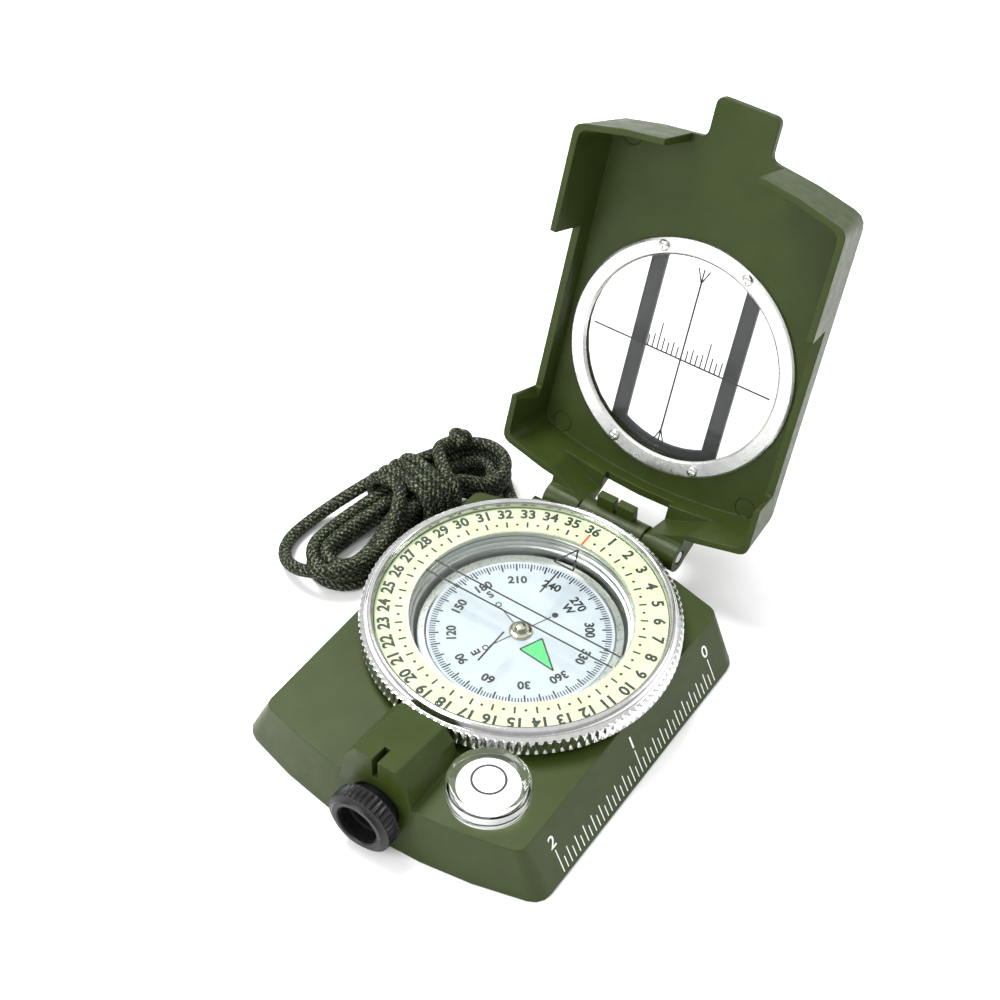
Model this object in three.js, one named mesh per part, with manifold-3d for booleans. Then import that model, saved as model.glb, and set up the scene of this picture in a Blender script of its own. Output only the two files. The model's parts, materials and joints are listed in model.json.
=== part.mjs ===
// A folding sighting compass: a die-cast base with a liquid capsule and a turning bezel,
// a bubble level, a focusing prism eyepiece, a hinged lid with a sight window, and a lanyard.
// Millimetres, +Z up. +Y runs from the eyepiece to the hinge, +X to the ruler side.
// The origin is the centre of the base's underside. The lid stands open at rest.
import * as THREE from "three";
import { mergeVertices } from "three/addons/utils/BufferGeometryUtils.js";
import Module from "manifold-3d";

const wasm = await Module();
wasm.setup();

// ---- driving dimensions ----
const END_BOW = 94.7; // radius of the bowed front and rear ends
const BASE_HEIGHT = 11;
const BASE_TOP = { halfWidth: 26.9, apex: 36.1, corner: 1.6 };
const BASE_FOOT = { halfWidth: 31.7, apex: 37.8, corner: 2.6 };
const BASE_LIP = 0.8; // upright lip round the foot
const BASE_WALL = 2;
const COVER_THICKNESS = 1.4;
const GAP = 0.3;
const DIAL_SIDES = 48; // facets round the dial's turned parts

const DIAL_Y = 7.58; // the dial's centre
const COLLAR = { outer: 26.4, inner: 23.4, seat: 24.9, seatZ: 13.2, topZ: 14.4 };
const BEZEL = { knurl: 29.3, bottomZ: 12.4, knurlTopZ: 15.8, topZ: 17.3, bore: 26.9 };
// Room cut for the bezel where it comes near the hinge: a ring in the base, and more in the lid.
const BEZEL_RELIEF = { baseRadius: 29.75, baseZ: 12, baseTopZ: 17.8, lidRadius: 30.3, lidZ: 18.2 };
const NUMBER_RING = { outer: 26.5, inner: 20.3, bottomZ: 15.1, topZ: 15.7 };
const BEZEL_GLASS = { radius: 26.5, bottomZ: 16, topZ: 16.9 };
const CUP = { outer: 23, inner: 20, bottomZ: 3, floorZ: 4.2 };
const CARD = { radius: 18.8, topZ: 10.8, thickness: 0.3 };
const CARD_NORTH = 113.5; // degrees clockwise from +Y, seen from above

const LEVEL = { x: 15.9, y: -25.8, radius: 7.25, bottomZ: 11.3, topZ: 15.4 };

const HUMP = { halfBase: 7.6, halfShoulder: 6.4, halfTop: 4.4, rearY: -22.4 };
const HUMP_FRONT_Z = { shoulder: 16.4, top: 19.4 };
const HUMP_REAR_Z = { shoulder: 15.2, top: 17.6 };
const EYEPIECE = { z: 7.4, drum: 6.4, hole: 4, frontY: -41.7, rearY: -37.9 };
const BARREL = { outer: 4.7, inner: 3.9, frontY: -40.9, rearY: -33.6 };

const HINGE = { y: 39.35, z: 11.69, radius: 3, pin: 1.2, bore: 1.5, inner: 6.9, outer: 14.6 };
const LID_OPEN = 108.1; // degrees from shut to the rest pose
const LID_RIM = { halfWidth: 27.1, apex: 36.3, corner: 1.6 };
const LID_BACK = { halfWidth: 25.7, apex: 35.2, corner: 2.4 };
const LID_RIM_Z = 11.25; // heights with the lid shut
const LID_BACK_Z = 23.69;
const LID_FLOOR = 1.5;
const LID_WALL = 1.3;
const SIDE_CUT = { fromY: -11.5, toY: 22.75, topZ: 18.6 };
const TIP_CUT = 9.2; // half the width of the gap in the tip wall
const HINGE_CUT = { half: 7.2, topZ: 19.7 };
const TAB = { half: 6.3, rootHalf: 8, rootY: -34.9, tipY: -42.9, corner: 1.6 };
const WINDOW = { y: 6.75, ringOuter: 23.4, ringInner: 20, hole: 20.4, glass: 20.8 };
const WINDOW_SCREW = { radius: 21.9, angle: 23.4, head: 1.1 };
const SIGHT_STRIP = { inner: 18.6, outer: 22, barInner: 8.4, barOuter: 11.5 };

const CORD = 2.6; // lanyard cord diameter
const LUG = { x0: -19.4, x1: -15.2, y: 39.4, z: 4, half: 2.4, hole: 1.7 };
const STOPPER = { x: -10.7, radius: 2 }; // the knot that keeps the cord in its lug
const HANK = { radius: 7.6, waist: 6.2, height: 8, bottomZ: 0.1 }; // two round ends and a tied waist
const HANK_FRONT = new THREE.Vector2(-42.1, 9.6);
const HANK_TIE = new THREE.Vector2(-39.4, 28);
const HANK_REAR = new THREE.Vector2(-33.9, 42);

const deg = THREE.MathUtils.degToRad;

// ---- materials ----
const metal = (color, roughness) =>
  new THREE.MeshStandardMaterial({ color, roughness, metalness: 0.9 });
const plain = (color, roughness) =>
  new THREE.MeshStandardMaterial({ color, roughness, metalness: 0 });
const clear = () =>
  new THREE.MeshStandardMaterial({ color: 0xf4f8f6, roughness: 0.05, transparent: true, opacity: 0.3 });
const OLIVE = plain(0x4f5c35, 0.5);
const SILVER = metal(0xd8d8d6, 0.3);
const BLACK = plain(0x17181a, 0.6);
const CORD_GREEN = plain(0x23261c, 0.9);

// ---- joining and cutting ----
function solid(geometry) {
  const bare = geometry.clone();
  bare.deleteAttribute("normal");
  bare.deleteAttribute("uv");
  const merged = mergeVertices(bare, 1e-4);
  return new wasm.Manifold(
    new wasm.Mesh({
      numProp: 3,
      vertProperties: merged.attributes.position.array,
      triVerts: new Uint32Array(merged.index.array),
    }),
  );
}

function geometryOf(manifold) {
  const mesh = manifold.getMesh();
  const geometry = new THREE.BufferGeometry();
  geometry.setAttribute("position", new THREE.BufferAttribute(mesh.vertProperties, 3));
  geometry.setIndex(new THREE.BufferAttribute(mesh.triVerts, 1));
  geometry.computeVertexNormals();
  return geometry;
}

// Joins the first list of geometries and cuts the second list from them.
function build(joined, cut = []) {
  const body = joined.map(solid).reduce((a, b) => a.add(b));
  return geometryOf(cut.map(solid).reduce((a, b) => a.subtract(b), body));
}

// ---- basic shapes ----
const box = (x0, x1, y0, y1, z0, z1) =>
  new THREE.BoxGeometry(x1 - x0, y1 - y0, z1 - z0).translate(
    (x0 + x1) / 2,
    (y0 + y1) / 2,
    (z0 + z1) / 2,
  );

const rodX = (radius, x0, x1, y, z, sides = 24) =>
  new THREE.CylinderGeometry(radius, radius, x1 - x0, sides)
    .rotateZ(Math.PI / 2)
    .translate((x0 + x1) / 2, y, z);

const rodY = (radius, y0, y1, x, z, sides = 32) =>
  new THREE.CylinderGeometry(radius, radius, y1 - y0, sides).translate(x, (y0 + y1) / 2, z);

const rodZ = (radius, z0, z1, x, y, sides = 32) =>
  new THREE.CylinderGeometry(radius, radius, z1 - z0, sides)
    .rotateX(Math.PI / 2)
    .translate(x, y, (z0 + z1) / 2);

// A solid of revolution about Z through (x, y), from a closed [radius, z] outline
// that runs counter-clockwise with the radius to the right.
function turned(outline, x = 0, y = 0, segments = DIAL_SIDES) {
  const points = [...outline, outline[0]].map(([r, z]) => new THREE.Vector2(r, z));
  return new THREE.LatheGeometry(points, segments).rotateX(Math.PI / 2).translate(x, y, 0);
}

// A flat-sided ring between two radii and two heights.
const ring = (inner, outer, z0, z1, x = 0, y = 0, segments = DIAL_SIDES) =>
  turned([[inner, z0], [outer, z0], [outer, z1], [inner, z1]], x, y, segments);

// A plan outline with straight sides, bowed ends and rounded corners, grown by `grow`.
function bowedOutline({ halfWidth, apex, corner }, grow = 0) {
  const half = halfWidth + grow;
  const tip = apex + grow;
  const bow = END_BOW + grow;
  const bowY = (x) => tip - bow + Math.sqrt(bow * bow - x * x);
  const sideY = bowY(half) - corner;
  const endX = half - corner;
  const sweep = Math.asin(endX / bow);
  const shape = new THREE.Shape();
  shape.moveTo(half, -sideY);
  shape.lineTo(half, sideY);
  shape.quadraticCurveTo(half, bowY(half), endX, bowY(endX));
  shape.absarc(0, tip - bow, bow, Math.PI / 2 - sweep, Math.PI / 2 + sweep, false);
  shape.quadraticCurveTo(-half, bowY(half), -half, sideY);
  shape.lineTo(-half, -sideY);
  shape.quadraticCurveTo(-half, -bowY(half), -endX, -bowY(endX));
  shape.absarc(0, bow - tip, bow, -Math.PI / 2 - sweep, -Math.PI / 2 + sweep, false);
  shape.quadraticCurveTo(half, -bowY(half), half, -sideY);
  const points = shape.getPoints(3);
  return points.filter((p, i) => p.distanceTo(points.at(i - 1)) > 1e-4);
}

// A closed solid through plan outlines of equal length at rising heights.
function loft(levels) {
  const count = levels[0].outline.length;
  const positions = levels.flatMap(({ outline, z }) => outline.flatMap((p) => [p.x, p.y, z]));
  const index = [];
  for (let level = 0; level < levels.length - 1; level++) {
    for (let i = 0; i < count; i++) {
      const a = level * count + i;
      const b = level * count + ((i + 1) % count);
      index.push(a, b, b + count, a, b + count, a + count);
    }
  }
  const top = (levels.length - 1) * count;
  const bottomCap = THREE.ShapeUtils.triangulateShape(levels[0].outline, []);
  const topCap = THREE.ShapeUtils.triangulateShape(levels.at(-1).outline, []);
  bottomCap.forEach(([a, b, c]) => index.push(c, b, a));
  topCap.forEach(([a, b, c]) => index.push(a + top, b + top, c + top));
  const geometry = new THREE.BufferGeometry();
  geometry.setAttribute("position", new THREE.Float32BufferAttribute(positions, 3));
  geometry.setIndex(index);
  return geometry;
}

// A prism along X between x0 and x1 of a [y, z] outline that runs counter-clockwise
// as seen from +X.
function prismX(outline, x0, x1) {
  const shape = new THREE.Shape(outline.map(([y, z]) => new THREE.Vector2(y, z)));
  const geometry = new THREE.ExtrudeGeometry(shape, { depth: x1 - x0, bevelEnabled: false });
  const axes = new THREE.Matrix4().set(0, 0, 1, x0, 1, 0, 0, 0, 0, 1, 0, 0, 0, 0, 0, 1);
  return geometry.applyMatrix4(axes);
}

// ---- the assembly ----
const compass = new THREE.Group();
const lid = new THREE.Group(); // children are placed as if the lid were shut
const lidPivot = new THREE.Group();
lidPivot.position.set(0, HINGE.y, HINGE.z);
lidPivot.rotation.x = -deg(LID_OPEN);
lid.position.set(0, -HINGE.y, -HINGE.z);
lidPivot.add(lid);
compass.add(lidPivot);

function part(name, geometry, material, parent = compass) {
  const mesh = new THREE.Mesh(geometry, material);
  mesh.name = name;
  parent.add(mesh);
}

// ---- base ----
const foot = (z) => ({ outline: bowedOutline(BASE_FOOT, 0), z });
const shellOutline = (z, inset) => {
  const t = Math.max(0, (z - BASE_LIP) / (BASE_HEIGHT - BASE_LIP));
  const mix = (key) => THREE.MathUtils.lerp(BASE_FOOT[key], BASE_TOP[key], t);
  const size = { halfWidth: mix("halfWidth"), apex: mix("apex"), corner: mix("corner") };
  return { outline: bowedOutline(size, -inset), z };
};
const COVER_SCREWS = [-1, 1].flatMap((sx) => [-1, 1].map((sy) => [sx * 25.4, sy * 28.4]));
const CAVITY_TOP = 9.2;

// The prism housing: a block with chamfered shoulders whose top falls towards the dial.
function humpBlock() {
  const section = (z, y) => [
    [HUMP.halfBase, 9.4],
    [HUMP.halfShoulder, z.shoulder],
    [HUMP.halfTop, z.top],
    [-HUMP.halfTop, z.top],
    [-HUMP.halfShoulder, z.shoulder],
    [-HUMP.halfBase, 9.4],
  ].map(([x, height]) => [x, y, height]);
  const front = section(HUMP_FRONT_Z, -BASE_TOP.apex);
  const rear = section(HUMP_REAR_Z, HUMP.rearY);
  const count = front.length;
  const index = [];
  for (let i = 0; i < count; i++) {
    const j = (i + 1) % count;
    index.push(i, i + count, j + count, i, j + count, j);
  }
  for (let i = 1; i < count - 1; i++) {
    index.push(0, i, i + 1);
    index.push(count, count + i + 1, count + i);
  }
  const geometry = new THREE.BufferGeometry();
  geometry.setAttribute("position", new THREE.Float32BufferAttribute([...front, ...rear].flat(), 3));
  geometry.setIndex(index);
  return geometry;
}

function baseHousing() {
  const body = loft([foot(0), shellOutline(BASE_LIP, 0), shellOutline(BASE_HEIGHT, 0)]);
  const cavity = loft([
    { outline: bowedOutline(BASE_FOOT, -BASE_WALL), z: -1 },
    shellOutline(BASE_LIP, BASE_WALL),
    shellOutline(CAVITY_TOP, BASE_WALL),
  ]);
  const hollow = build([cavity], COVER_SCREWS.map(([x, y]) => rodZ(3, COVER_THICKNESS + GAP, 12, x, y, 20)));
  const collar = turned(
    [
      [COLLAR.inner, 9.3],
      [COLLAR.outer, 9.3],
      [COLLAR.outer, 12.7],
      [COLLAR.outer - 0.4, 12.9],
      [COLLAR.outer - 0.4, 13.7],
      [COLLAR.outer, 13.9],
      [COLLAR.outer, COLLAR.topZ],
      [COLLAR.seat, COLLAR.topZ],
      [COLLAR.seat, COLLAR.seatZ],
      [COLLAR.inner, COLLAR.seatZ],
    ],
    0,
    DIAL_Y,
  );
  const knuckle = rodX(HINGE.radius, -HINGE.inner, HINGE.inner, HINGE.y, HINGE.z);
  const webOutline = [[34, 6], [38.6, 6], [41.4, 9.6], [41, 12], [37, 12], [34, 10.6]];
  const web = prismX(webOutline, -HINGE.inner, HINGE.inner);
  const tab = (x0, x1) => box(x0, x1, 39.3, 41, 12.6, 17.5);
  const lug = box(LUG.x0, LUG.x1, 34.4, LUG.y + LUG.half, LUG.z - LUG.half, LUG.z + LUG.half);
  return build(
    [body, collar, humpBlock(), knuckle, web, tab(-4, -0.3), tab(0.3, 4), lug],
    [
      hollow,
      rodZ(COLLAR.inner, 5, 12, 0, DIAL_Y, DIAL_SIDES),
      ...COVER_SCREWS.map(([x, y]) => rodZ(1.1, -1, 7, x, y, 16)),
      rodX(HINGE.bore, -20, 20, HINGE.y, HINGE.z, 20),
      box(-4.6, 4.6, -34.3, -21, 2, 14.4),
      box(-0.6, 0.6, -40, -32.4, 14.8, 25),
      rodY(BARREL.outer + 0.3, -40, -32, 0, EYEPIECE.z),
      rodX(LUG.hole, -30, 0, LUG.y, LUG.z, 16),
      ring(BEZEL.bore, BEZEL_RELIEF.baseRadius, BEZEL_RELIEF.baseZ, BEZEL_RELIEF.baseTopZ, 0, DIAL_Y),
    ],
  );
}
part("base_housing", baseHousing(), OLIVE);

function baseCover() {
  const outline = bowedOutline(BASE_FOOT, -BASE_WALL - GAP);
  const plate = loft([{ outline, z: 0 }, { outline, z: COVER_THICKNESS }]);
  return build([plate], COVER_SCREWS.flatMap(([x, y]) => [
    rodZ(1.4, -1, 3, x, y, 20),
    rodZ(2.5, -1, 0.9, x, y, 20),
  ]));
}
part("base_cover", baseCover(), OLIVE);

COVER_SCREWS.forEach(([x, y], i) => {
  const head = rodZ(2.2, 0.1, 0.75, x, y, 20);
  const shank = rodZ(0.8, 0.7, 6.4, x, y, 12);
  part(`cover_screw_${i + 1}`, build([head, shank]), SILVER);
});

// ---- compass capsule ----
part(
  "capsule_cup",
  turned(
    [
      [0, CUP.bottomZ],
      [CUP.outer, CUP.bottomZ],
      [CUP.outer, COLLAR.seatZ + GAP],
      [COLLAR.seat - GAP, COLLAR.seatZ + GAP],
      [COLLAR.seat - GAP, COLLAR.topZ],
      [22.6, COLLAR.topZ],
      [22.6, 13],
      [CUP.inner, 13],
      [CUP.inner, CUP.floorZ],
      [0, CUP.floorZ],
    ],
    0,
    DIAL_Y,
  ),
  plain(0xb9bcba, 0.4),
);
part("capsule_gasket", ring(20.6, 22.3, 13.05, 13.3, 0, DIAL_Y), BLACK);
part("capsule_window", rodZ(22.3, 13.35, 14.35, 0, DIAL_Y, DIAL_SIDES), clear());
part(
  "pivot_post",
  turned([[0, 4.25], [1.5, 4.25], [1.5, 5], [0.5, 5.4], [0.35, 10.4], [0, 11.3]], 0, DIAL_Y, 20),
  SILVER,
);

// ---- card: floats on the pivot ----
const cardBottom = CARD.topZ - CARD.thickness;
part("compass_card", ring(1, CARD.radius, cardBottom, CARD.topZ, 0, DIAL_Y), plain(0xeef1f4, 0.5));
function cardMagnet() {
  const bar = box(-12, 12, -2.4, 2.4, cardBottom - 2, cardBottom - 0.1);
  const turn = -deg(CARD_NORTH) + Math.PI / 2;
  return build([bar], [rodZ(1, 0, 20, 0, 0, 20)]).rotateZ(turn).translate(0, DIAL_Y, 0);
}
part("card_magnet", cardMagnet(), metal(0x6d6f72, 0.45));
part(
  "jewel_cap",
  turned(
    [
      [0.8, cardBottom + 0.05],
      [0.95, cardBottom + 0.05],
      [0.95, CARD.topZ + 0.05],
      [2.1, CARD.topZ + 0.05],
      [2.1, 11.5],
      [1.5, 11.8],
      [1.3, 12.3],
      [0, 12.5],
      [0, 11.6],
      [0.8, 11.2],
    ],
    0,
    DIAL_Y,
    28,
  ),
  metal(0xc9b98a, 0.3),
);

// ---- bezel: turns about the dial's axis ----
part(
  "bezel_ring",
  turned(
    [
      [BEZEL.bore, BEZEL.bottomZ],
      [BEZEL.knurl - 0.3, BEZEL.bottomZ],
      [BEZEL.knurl, BEZEL.bottomZ + 0.3],
      [BEZEL.knurl, BEZEL.knurlTopZ - 0.2],
      [28.6, BEZEL.knurlTopZ + 0.1],
      [28, 16.8],
      [27.5, BEZEL.topZ],
      [27.2, BEZEL.topZ],
      [26.8, 17],
      [26.8, 15.05],
      [26, 15.05],
      [26, 14.75],
      [BEZEL.bore, 14.75],
      [BEZEL.bore, 13.9],
      [BEZEL.bore + 0.5, 13.7],
      [BEZEL.bore + 0.5, 12.9],
      [BEZEL.bore, 12.7],
    ],
    0,
    DIAL_Y,
  ),
  SILVER,
);
part(
  "number_ring",
  ring(NUMBER_RING.inner, NUMBER_RING.outer, NUMBER_RING.bottomZ, NUMBER_RING.topZ, 0, DIAL_Y),
  plain(0xe3ead0, 0.5),
);
part(
  "bezel_glass",
  rodZ(BEZEL_GLASS.radius, BEZEL_GLASS.bottomZ, BEZEL_GLASS.topZ, 0, DIAL_Y, DIAL_SIDES),
  clear(),
);
part("bezel_slip_ring", ring(25, 25.8, 14.45, 14.7, 0, DIAL_Y), BLACK);
function snapWire() {
  const wire = new THREE.TorusGeometry(26.75, 0.3, 5, 48).translate(0, DIAL_Y, 13.3);
  return build([wire], [box(-2, 2, DIAL_Y + 20, DIAL_Y + 30, 12, 15)]);
}
part("bezel_snap_wire", snapWire(), SILVER);

// ---- bubble level ----
part(
  "level_body",
  turned(
    [
      [6.3, LEVEL.bottomZ],
      [LEVEL.radius, LEVEL.bottomZ],
      [LEVEL.radius, LEVEL.topZ - 0.3],
      [LEVEL.radius - 0.3, LEVEL.topZ],
      [0, LEVEL.topZ],
      [0, LEVEL.topZ - 0.9],
      [5.9, LEVEL.topZ - 1.1],
      [6.3, LEVEL.topZ - 1.6],
    ],
    LEVEL.x,
    LEVEL.y,
    32,
  ),
  clear(),
);
part("level_disc", rodZ(6.1, LEVEL.bottomZ, 13.1, LEVEL.x, LEVEL.y, 32), plain(0xf4f4f2, 0.4));

// ---- prism and eyepiece ----
const prismOutline = [[-33.4, 3.2], [-24.6, 3.2], [-24.6, 13.6], [-33.4, 4.4]];
part("prism", prismX(prismOutline, -4.2, 4.2), clear());
part(
  "eyepiece_barrel",
  build(
    [rodY(BARREL.outer, BARREL.frontY, BARREL.rearY, 0, EYEPIECE.z)],
    [rodY(BARREL.inner, -50, -30, 0, EYEPIECE.z)],
  ),
  BLACK,
);
part(
  "eyepiece_ring",
  build(
    [rodY(EYEPIECE.drum, EYEPIECE.frontY, EYEPIECE.rearY, 0, EYEPIECE.z, 32)],
    [
      rodY(BARREL.outer + GAP, EYEPIECE.frontY + 0.5, -30, 0, EYEPIECE.z, 32),
      rodY(EYEPIECE.hole, -50, -30, 0, EYEPIECE.z, 32),
    ],
  ),
  BLACK,
);
const LENS_CELL = { outer: 3.6, inner: 2.9, frontY: -39.2, rearY: -36.4 };
part(
  "lens_cell",
  build(
    [rodY(LENS_CELL.outer, LENS_CELL.frontY, LENS_CELL.rearY, 0, EYEPIECE.z, 28)],
    [
      rodY(LENS_CELL.inner, LENS_CELL.frontY + 0.8, -30, 0, EYEPIECE.z, 28),
      rodY(2.5, -50, -30, 0, EYEPIECE.z, 28),
    ],
  ),
  BLACK,
);
function eyeLens() {
  const outline = [[0, -0.7], [2.2, -0.45], [2.6, -0.3], [2.6, 0.3], [2.2, 0.45], [0, 0.7]];
  const lens = turned(outline, 0, 0, 28).rotateX(Math.PI / 2);
  return lens.translate(0, LENS_CELL.frontY + 1.6, EYEPIECE.z);
}
part("eye_lens", eyeLens(), clear());

// ---- lid ----
// The tab's plate, with a flared root and rounded tip corners.
function tabPlate(z0, z1) {
  const shape = new THREE.Shape();
  shape.moveTo(-TAB.rootHalf, -33);
  shape.lineTo(-TAB.rootHalf, TAB.rootY);
  shape.quadraticCurveTo(-TAB.half, TAB.rootY, -TAB.half, TAB.rootY - 1.8);
  shape.lineTo(-TAB.half, TAB.tipY + TAB.corner);
  shape.quadraticCurveTo(-TAB.half, TAB.tipY, -TAB.half + TAB.corner, TAB.tipY);
  shape.lineTo(TAB.half - TAB.corner, TAB.tipY);
  shape.quadraticCurveTo(TAB.half, TAB.tipY, TAB.half, TAB.tipY + TAB.corner);
  shape.lineTo(TAB.half, TAB.rootY - 1.8);
  shape.quadraticCurveTo(TAB.half, TAB.rootY, TAB.rootHalf, TAB.rootY);
  shape.lineTo(TAB.rootHalf, -33);
  const options = { depth: z1 - z0, bevelEnabled: false, curveSegments: 5 };
  return new THREE.ExtrudeGeometry(shape, options).translate(0, 0, z0);
}
function lidShell() {
  const wall = (size, inset, z) => ({ outline: bowedOutline(size, -inset), z });
  const tray = loft([wall(LID_RIM, 0, LID_RIM_Z), wall(LID_BACK, 0, LID_BACK_Z)]);
  const inside = loft([
    wall(LID_RIM, LID_WALL - 0.2, LID_RIM_Z - 1),
    wall(LID_BACK, LID_WALL + 0.2, LID_BACK_Z - LID_FLOOR),
  ]);
  const floorZ = LID_BACK_Z - LID_FLOOR;
  const arm = (x0, x1) => [
    rodX(HINGE.radius, x0, x1, HINGE.y, HINGE.z),
    prismX(
      [
        [34.1, LID_RIM_Z],
        [36.6, LID_RIM_Z],
        [38, 9.5],
        [HINGE.y + 2.4, HINGE.z + 1.4],
        [36.4, 19.9],
        [34.1, 22.6],
      ],
      x0,
      x1,
    ),
  ];
  return build(
    [
      tray,
      tabPlate(floorZ, LID_BACK_Z),
      ...arm(-HINGE.outer, -HINGE.inner - GAP),
      ...arm(HINGE.inner + GAP, HINGE.outer),
    ],
    [
      inside,
      box(-40, -24, SIDE_CUT.fromY, SIDE_CUT.toY, 0, SIDE_CUT.topZ),
      box(24, 40, SIDE_CUT.fromY, SIDE_CUT.toY, 0, SIDE_CUT.topZ),
      box(-TIP_CUT, TIP_CUT, -60, -30, 0, floorZ),
      box(-HINGE_CUT.half, HINGE_CUT.half, 30, 60, 0, HINGE_CUT.topZ),
      rodX(HINGE.bore, -20, 20, HINGE.y, HINGE.z, 20),
      rodZ(BEZEL_RELIEF.lidRadius, 0, BEZEL_RELIEF.lidZ, 0, DIAL_Y, DIAL_SIDES),
      rodZ(WINDOW.hole, 20, 30, 0, WINDOW.y, 40),
      rodZ(WINDOW.glass + GAP, 20, LID_BACK_Z - 0.5, 0, WINDOW.y, 40),
      ...windowScrews((x, y) => rodZ(0.75, 20, LID_BACK_Z - 0.4, x, y, 12)),
    ],
  );
}

// Calls place(x, y, index) at each of the window ring's four screws.
function windowScrews(place) {
  const angles = [90 - WINDOW_SCREW.angle, 90 + WINDOW_SCREW.angle, -90 - WINDOW_SCREW.angle,
    -90 + WINDOW_SCREW.angle];
  return angles.map((angle, i) =>
    place(
      WINDOW_SCREW.radius * Math.cos(deg(angle)),
      WINDOW.y + WINDOW_SCREW.radius * Math.sin(deg(angle)),
      i,
    ),
  );
}
part("lid_shell", lidShell(), OLIVE, lid);

const ringZ = { front: LID_BACK_Z - LID_FLOOR - 0.75, back: LID_BACK_Z - LID_FLOOR - 0.05 };
part(
  "window_ring",
  build(
    [ring(WINDOW.ringInner, WINDOW.ringOuter, ringZ.front, ringZ.back, 0, WINDOW.y, 40)],
    windowScrews((x, y) => rodZ(0.75, 15, 30, x, y, 12)),
  ),
  SILVER,
  lid,
);
part(
  "sight_glass",
  rodZ(WINDOW.glass, ringZ.back + 0.1, LID_BACK_Z - 0.6, 0, WINDOW.y, 40),
  clear(),
  lid,
);
windowScrews((x, y, i) => {
  const head = rodZ(WINDOW_SCREW.head, ringZ.front - 0.65, ringZ.front - 0.05, x, y, 16);
  const shank = rodZ(0.55, ringZ.front - 0.1, LID_BACK_Z - 0.5, x, y, 10);
  part(`window_screw_${i + 1}`, build([head, shank]), SILVER, lid);
});

// A flat U: an arc round the hinge side of the window with two upright bars.
function sightStrip() {
  const z0 = LID_BACK_Z + 0.05;
  const z1 = LID_BACK_Z + 1;
  const barTop = WINDOW.y - 20.8;
  const arc = build(
    [ring(SIGHT_STRIP.inner, SIGHT_STRIP.outer, z0, z1, 0, WINDOW.y)],
    [
      box(-40, 40, -40, WINDOW.y, 20, 30),
      box(-40, -SIGHT_STRIP.barOuter, -40, 60, 20, 30),
      box(SIGHT_STRIP.barOuter, 40, -40, 60, 20, 30),
    ],
  );
  const bar = (x0, x1) => box(x0, x1, barTop, WINDOW.y + 17.2, z0, z1);
  return build([
    arc,
    bar(-SIGHT_STRIP.barOuter, -SIGHT_STRIP.barInner),
    bar(SIGHT_STRIP.barInner, SIGHT_STRIP.barOuter),
  ]);
}
part("sight_strip", sightStrip(), plain(0x4a4c4e, 0.5), lid);

part("hinge_pin", rodX(HINGE.pin, -HINGE.outer + 0.1, HINGE.outer - 0.1, HINGE.y, HINGE.z, 20), SILVER);

// ---- lanyard ----
// The route of the cord from its stopper knot through the lug to the hank on the ground.
const LEAD = [
  [-12.5, 39.4, 4],
  [-16.5, 39.4, 4],
  [-19.4, 39.5, 3.9],
  [-22.4, 40, 3.2],
  [-24.9, 41.7, 2.2],
];
function leadTube() {
  const curve = new THREE.CatmullRomCurve3(LEAD.map((p) => new THREE.Vector3(...p)));
  const section = new THREE.Shape();
  section.absellipse(0, 0, CORD / 2, CORD / 2, 0, Math.PI * 2, false, 0);
  const outline = new THREE.Shape(section.getPoints(4).slice(0, 8));
  return new THREE.ExtrudeGeometry(outline, { steps: 12, extrudePath: curve, bevelEnabled: false });
}
part("lanyard_lead", leadTube(), CORD_GREEN);
part(
  "lanyard_stopper",
  new THREE.SphereGeometry(STOPPER.radius, 10, 8)
    .scale(0.75, 1, 1)
    .translate(STOPPER.x, LUG.y, LUG.z),
  CORD_GREEN,
);
function hankBlock() {
  const tilt = HANK_REAR.clone().sub(HANK_FRONT).angle() - Math.PI / 2;
  const side = (centre, distance) =>
    centre.clone().add(new THREE.Vector2(distance, 0).rotateAround(new THREE.Vector2(), tilt));
  // A side of the waist: a curve between two points that bends through the tie.
  const bend = (from, to, distance) => {
    const control = side(HANK_TIE, distance).multiplyScalar(2);
    control.sub(from.clone().add(to).multiplyScalar(0.5));
    shape.quadraticCurveTo(control.x, control.y, to.x, to.y);
  };
  const shape = new THREE.Shape();
  shape.absarc(HANK_FRONT.x, HANK_FRONT.y, HANK.radius, Math.PI + tilt, 2 * Math.PI + tilt, false);
  bend(side(HANK_FRONT, HANK.radius), side(HANK_REAR, HANK.radius), HANK.waist);
  shape.absarc(HANK_REAR.x, HANK_REAR.y, HANK.radius, tilt, Math.PI + tilt, false);
  bend(side(HANK_REAR, -HANK.radius), side(HANK_FRONT, -HANK.radius), -HANK.waist);
  const options = { depth: HANK.height, bevelEnabled: false, curveSegments: 8 };
  return new THREE.ExtrudeGeometry(shape, options).translate(0, 0, HANK.bottomZ);
}
part("lanyard_hank", hankBlock(), CORD_GREEN);

export default compass;
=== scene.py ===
"""The looks of a folding sighting compass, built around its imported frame.

Shapes are made in millimetres and scaled to metres when they become objects.
Places come from the frame where it has them. The lid's pieces are built shut and then opened.
"""
import json
from math import atan2, cos, pi, radians, sin, tau

import bmesh
import bpy
import numpy as np
from mathutils import Matrix, Vector


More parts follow.
